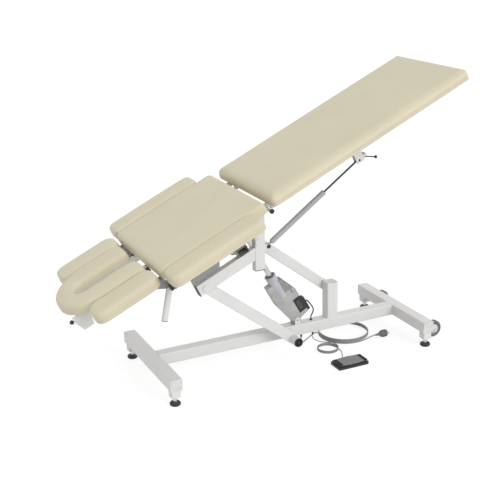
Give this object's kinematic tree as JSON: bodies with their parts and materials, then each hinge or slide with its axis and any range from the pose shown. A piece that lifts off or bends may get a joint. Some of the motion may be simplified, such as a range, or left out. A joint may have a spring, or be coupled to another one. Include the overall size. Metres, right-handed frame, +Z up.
{
  "type": "massage table",
  "caption": "Lifting massage table with a sloping padded top in sections, side pads, armrests, a face hole and a foot pedal.",
  "frame": {"origin": "centre of the table's box on the floor, cords left out", "axes": "+X along the base towards the raised leg end, +Y across the table, +Z up"},
  "size_m": [2.081, 0.92, 1.4532],
  "materials": {
    "white_coat": "satin",
    "grey_coat": "satin",
    "bright_steel": "polished",
    "lilac_metal": "satin",
    "lilac_plastic": "satin",
    "black_plastic": "satin",
    "black_steel": "satin",
    "grey_rubber": "matte",
    "cream_vinyl": "smooth vinyl over foam",
    "plywood": "sawn",
    "grey_cord": "matte"
  },
  "bodies": {
    "base": {"spine_tube": "white_coat", "crossbar_head_end": "white_coat", "crossbar_leg_end": "white_coat", "post_tube": "white_coat", "levelling_foot_head_near": "black_plastic", "levelling_foot_head_far": "black_plastic", "levelling_foot_leg_near": "black_plastic", "levelling_foot_leg_far": "black_plastic", "lower_arm_axle": "bright_steel", "actuator_bracket": "white_coat", "mains_gland": "black_plastic", "pedal_gland": "black_plastic", "power_cord_lead": "grey_cord", "power_cord_coil": "grey_cord", "power_cord_tail": "grey_cord", "mains_plug": "grey_rubber", "pedal_cord_feed": "grey_cord", "pedal_cord_coil": "grey_cord", "pedal_cord_tail": "grey_cord", "pedal_base": "black_plastic", "motor_lead": "black_plastic"},
    "lower_arm": {"lower_arm": "white_coat", "lower_arm_cap": "black_plastic"},
    "upper_arm": {"upper_arm": "white_coat"},
    "lift_frame": {"column_near": "white_coat", "column_far": "white_coat", "diagonal_near": "white_coat", "diagonal_far": "white_coat", "lift_cross_tube": "grey_coat", "seat_rest": "grey_coat", "arm_shaft_lower": "bright_steel", "arm_shaft_upper": "bright_steel", "hinge_shaft": "bright_steel"},
    "actuator": {"actuator_housing": "black_plastic", "actuator_sleeve": "lilac_plastic"},
    "actuator_rod": {"actuator_rod": "bright_steel"},
    "centre_section": {"centre_board": "plywood", "centre_cushion": "cream_vinyl", "centre_frame": "white_coat"},
    "side_pad_near": {"side_cushion_near": "cream_vinyl", "side_carrier_near": "grey_coat"},
    "side_pad_far": {"side_cushion_far": "cream_vinyl", "side_carrier_far": "grey_coat"},
    "head_section": {"head_cushion": "cream_vinyl", "head_frame": "white_coat"},
    "armrest_near": {"armrest_cushion_near": "cream_vinyl", "armrest_carrier_near": "grey_coat"},
    "armrest_far": {"armrest_cushion_far": "cream_vinyl", "armrest_carrier_far": "grey_coat"},
    "armrest_knob_near": {"armrest_knob_near": "black_plastic"},
    "armrest_knob_far": {"armrest_knob_far": "black_plastic"},
    "leg_section": {"leg_board": "plywood", "leg_cushion": "cream_vinyl", "leg_frame": "white_coat"},
    "leg_spring_cylinder": {"leg_spring_cylinder": "lilac_metal"},
    "leg_spring_rod": {"leg_spring_rod": "black_steel"},
    "release_lever": {"release_lever": "black_steel"},
    "wheel_near": {"wheel_near": "grey_rubber"},
    "wheel_far": {"wheel_far": "grey_rubber"},
    "pedal_rocker": {"pedal_rocker": "grey_rubber"}
  },
  "joints": [
    {"name": "lift", "type": "hinge", "parent": "base", "child": "lower_arm", "pos_m": [0.13726, 0, 0.1131], "axis": [0, 1, 0], "range_deg": [-25, 5]},
    {"name": "upper_arm_swing", "type": "hinge", "parent": "base", "child": "upper_arm", "pos_m": [0.42326, 0, 0.302], "axis": [0, 1, 0], "range_deg": [-26, 6]},
    {"name": "lift_frame_level", "type": "hinge", "parent": "lower_arm", "child": "lift_frame", "pos_m": [-0.36144, 0, 0.50133], "axis": [0, 1, 0], "range_deg": [-6, 26]},
    {"name": "actuator_swing", "type": "hinge", "parent": "base", "child": "actuator", "pos_m": [0.21026, 0, 0.17], "axis": [0, 1, 0], "range_deg": [-27, 6], "deforming": ["motor_lead"]},
    {"name": "actuator_stroke", "type": "slide", "parent": "actuator", "child": "actuator_rod", "axis": [-0.4814, 0, 0.8765], "range_m": [-0.11, 0.025]},
    {"name": "centre_tilt", "type": "hinge", "parent": "lift_frame", "child": "centre_section", "pos_m": [-0.07074, 0, 0.88303], "axis": [0, 1, 0], "range_deg": [0, 24.7]},
    {"name": "leg_tilt", "type": "hinge", "parent": "lift_frame", "child": "leg_section", "pos_m": [-0.07074, 0, 0.88303], "axis": [0, 1, 0], "range_deg": [0, 24.7]},
    {"name": "leg_spring_swing", "type": "hinge", "parent": "lift_frame", "child": "leg_spring_cylinder", "pos_m": [-0.01674, -0.14, 0.65703], "axis": [0, 1, 0], "range_deg": [-1, 24]},
    {"name": "leg_spring_stroke", "type": "slide", "parent": "leg_spring_cylinder", "child": "leg_spring_rod", "axis": [0.8134, 0, 0.5817], "range_m": [-0.1, 0.002]},
    {"name": "release_lever_swing", "type": "hinge", "parent": "leg_section", "child": "release_lever", "pos_m": [0.5346, -0.14, 1.04037], "axis": [-0.4179, 0, 0.9085], "range_deg": [0, 12], "stiffness_Nm_per_rad": 0.4},
    {"name": "head_tilt", "type": "hinge", "parent": "centre_section", "child": "head_section", "pos_m": [-0.63493, 0, 0.62595], "axis": [0, -1, 0], "range_deg": [-25, 20]},
    {"name": "side_pad_near_fold", "type": "hinge", "parent": "centre_section", "child": "side_pad_near", "pos_m": [-0.07283, -0.3215, 0.88757], "axis": [0.9085, 0, 0.4179], "range_deg": [0, 90]},
    {"name": "side_pad_far_fold", "type": "hinge", "parent": "centre_section", "child": "side_pad_far", "pos_m": [-0.07283, 0.3215, 0.88757], "axis": [-0.9085, 0, -0.4179], "range_deg": [0, 90]},
    {"name": "armrest_near_slide", "type": "slide", "parent": "centre_section", "child": "armrest_near", "axis": [-0.2011, 0, -0.9796], "range_m": [0, 0.1]},
    {"name": "armrest_knob_near_turn", "type": "hinge", "parent": "armrest_near", "child": "armrest_knob_near", "pos_m": [-0.58459, -0.265, 0.60075], "axis": [0, 1, 0], "continuous": true},
    {"name": "wheel_near_roll", "type": "hinge", "parent": "base", "child": "wheel_near", "pos_m": [0.91526, -0.255, 0.065], "axis": [0, 1, 0], "continuous": true},
    {"name": "armrest_far_slide", "type": "slide", "parent": "centre_section", "child": "armrest_far", "axis": [-0.2011, 0, -0.9796], "range_m": [0, 0.1]},
    {"name": "armrest_knob_far_turn", "type": "hinge", "parent": "armrest_far", "child": "armrest_knob_far", "pos_m": [-0.58459, 0.265, 0.60075], "axis": [0, 1, 0], "continuous": true},
    {"name": "wheel_far_roll", "type": "hinge", "parent": "base", "child": "wheel_far", "pos_m": [0.91526, 0.255, 0.065], "axis": [0, 1, 0], "continuous": true},
    {"name": "pedal_rock", "type": "hinge", "parent": "base", "child": "pedal_rocker", "pos_m": [0.36026, -0.3115, 0.014], "axis": [0, 1, 0], "range_deg": [-2.5, 2.5], "stiffness_Nm_per_rad": 2}
  ],
  "couplings": [
    {"joint": "upper_arm_swing", "follows": "lift", "ratio": 1},
    {"joint": "lift_frame_level", "follows": "lift", "ratio": -1},
    {"joint": "actuator_swing", "follows": "lift", "ratio": 1.0597},
    {"joint": "actuator_stroke", "follows": "lift", "m_per_rad": 0.24667},
    {"joint": "leg_spring_swing", "follows": "leg_tilt", "ratio": 0.9137},
    {"joint": "leg_spring_stroke", "follows": "leg_tilt", "m_per_rad": -0.2269}
  ]
}
